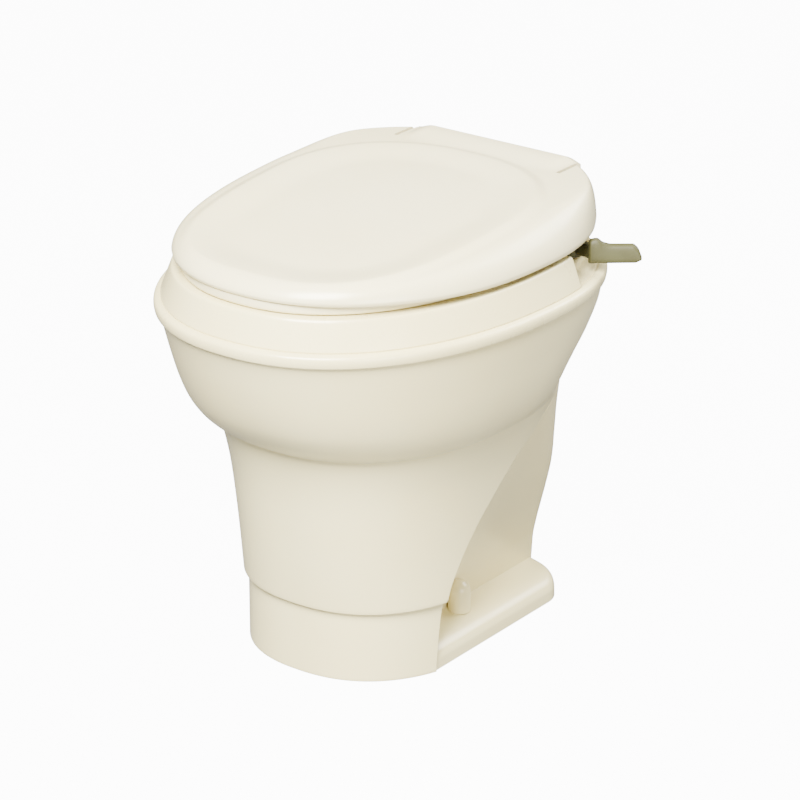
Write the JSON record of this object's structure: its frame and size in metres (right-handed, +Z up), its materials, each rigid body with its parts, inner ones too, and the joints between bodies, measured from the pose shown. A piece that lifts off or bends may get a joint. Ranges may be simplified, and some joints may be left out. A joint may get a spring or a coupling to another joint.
{
  "type": "toilet",
  "caption": "High-profile gravity-flush toilet with a hinged seat and lid, a side flush lever geared to a swinging outlet blade, and a water valve worked by a cam.",
  "frame": {"origin": "on the floor, on the mid-plane, on the base's front floor pad, 95 mm in front of the waste outlet's centre line", "axes": "+Z up, -Y towards the front of the toilet, +X towards the flush lever's side"},
  "size_m": [0.3992, 0.4622, 0.4502],
  "materials": {
    "casing": "cream, semi-gloss, moulded",
    "bowl_gloss": "cream, glossy, moulded",
    "lid_plastic": "cream, semi-gloss, moulded",
    "lever_plastic": "olive, satin",
    "inner_plastic": "grey, satin",
    "gear_plastic": "natural nylon",
    "rubber": "black, matt",
    "steel": "stainless",
    "brass": "turned"
  },
  "bodies": {
    "base": {"base_casing": "casing", "front_shell": "casing", "bowl": "bowl_gloss", "floor_seal": "rubber", "outlet_horn": "inner_plastic", "valve_housing": "inner_plastic", "valve_cover": "inner_plastic", "blade_seal": "rubber", "idler_pin": "steel", "lever_bush": "gear_plastic", "gear_plate": "inner_plastic", "gear_plate_screw_1": "steel", "gear_plate_screw_2": "steel", "return_spring": "steel", "water_valve": "inner_plastic", "water_inlet": "gear_plastic", "inlet_nut": "gear_plastic", "supply_hose": "rubber", "rinse_tube": "rubber", "rinse_nozzle": "gear_plastic", "vacuum_breaker": "gear_plastic", "breaker_cap": "inner_plastic", "closet_bolt_left": "steel", "bolt_washer_left": "steel", "bolt_nut_left": "steel", "bolt_cap_left": "casing", "hinge_post_left": "lid_plastic", "hinge_pin_left": "steel", "hinge_bolt_left": "steel", "hinge_nut_left": "gear_plastic", "closet_bolt_right": "steel", "bolt_washer_right": "steel", "bolt_nut_right": "steel", "bolt_cap_right": "casing", "hinge_post_right": "lid_plastic", "hinge_pin_right": "steel", "hinge_bolt_right": "steel", "hinge_nut_right": "gear_plastic"},
    "drive": {"drive_shaft": "steel", "flush_blade": "inner_plastic", "valve_cam": "gear_plastic", "driven_gear": "gear_plastic"},
    "idler": {"idler_gear": "gear_plastic"},
    "lever": {"flush_lever": "lever_plastic", "lever_shaft": "steel", "lever_gear": "gear_plastic", "lever_screw": "steel"},
    "plunger": {"water_plunger": "brass"},
    "seat": {"seat": "lid_plastic", "seat_bumper_front_left": "rubber", "seat_bumper_rear_left": "rubber", "seat_bumper_front_right": "rubber", "seat_bumper_rear_right": "rubber"},
    "lid": {"lid": "lid_plastic", "lid_bumper_left": "rubber", "lid_bumper_right": "rubber"}
  },
  "joints": [
    {"name": "seat_hinge", "type": "hinge", "parent": "base", "child": "seat", "pos_m": [0, 0.245, 0.428], "axis": [-1, 0, 0], "range_deg": [0, 95]},
    {"name": "lid_hinge", "type": "hinge", "parent": "seat", "child": "lid", "pos_m": [0, 0.245, 0.428], "axis": [-1, 0, 0], "range_deg": [0, 100]},
    {"name": "lever_turn", "type": "hinge", "parent": "base", "child": "lever", "pos_m": [0.135, 0.193, 0.37], "axis": [0, 0, -1], "range_deg": [0, 50], "stiffness_Nm_per_rad": 0.4, "springref_deg": -28.65},
    {"name": "drive_turn", "type": "hinge", "parent": "base", "child": "drive", "pos_m": [0.07, 0.18, 0.25], "axis": [0, 0, -1], "range_deg": [0, 45]},
    {"name": "idler_turn", "type": "hinge", "parent": "base", "child": "idler", "pos_m": [0.10202, 0.19413, 0.35], "axis": [0, 0, -1], "range_deg": [-60, 0]},
    {"name": "plunger_slide", "type": "slide", "parent": "base", "child": "plunger", "axis": [-1, 0, 0], "range_m": [0, 0.004]}
  ],
  "couplings": [
    {"joint": "drive_turn", "follows": "lever_turn", "ratio": 0.9},
    {"joint": "idler_turn", "follows": "lever_turn", "ratio": -1.2},
    {"joint": "plunger_slide", "follows": "lever_turn", "m_per_rad": 0.0045836}
  ]
}
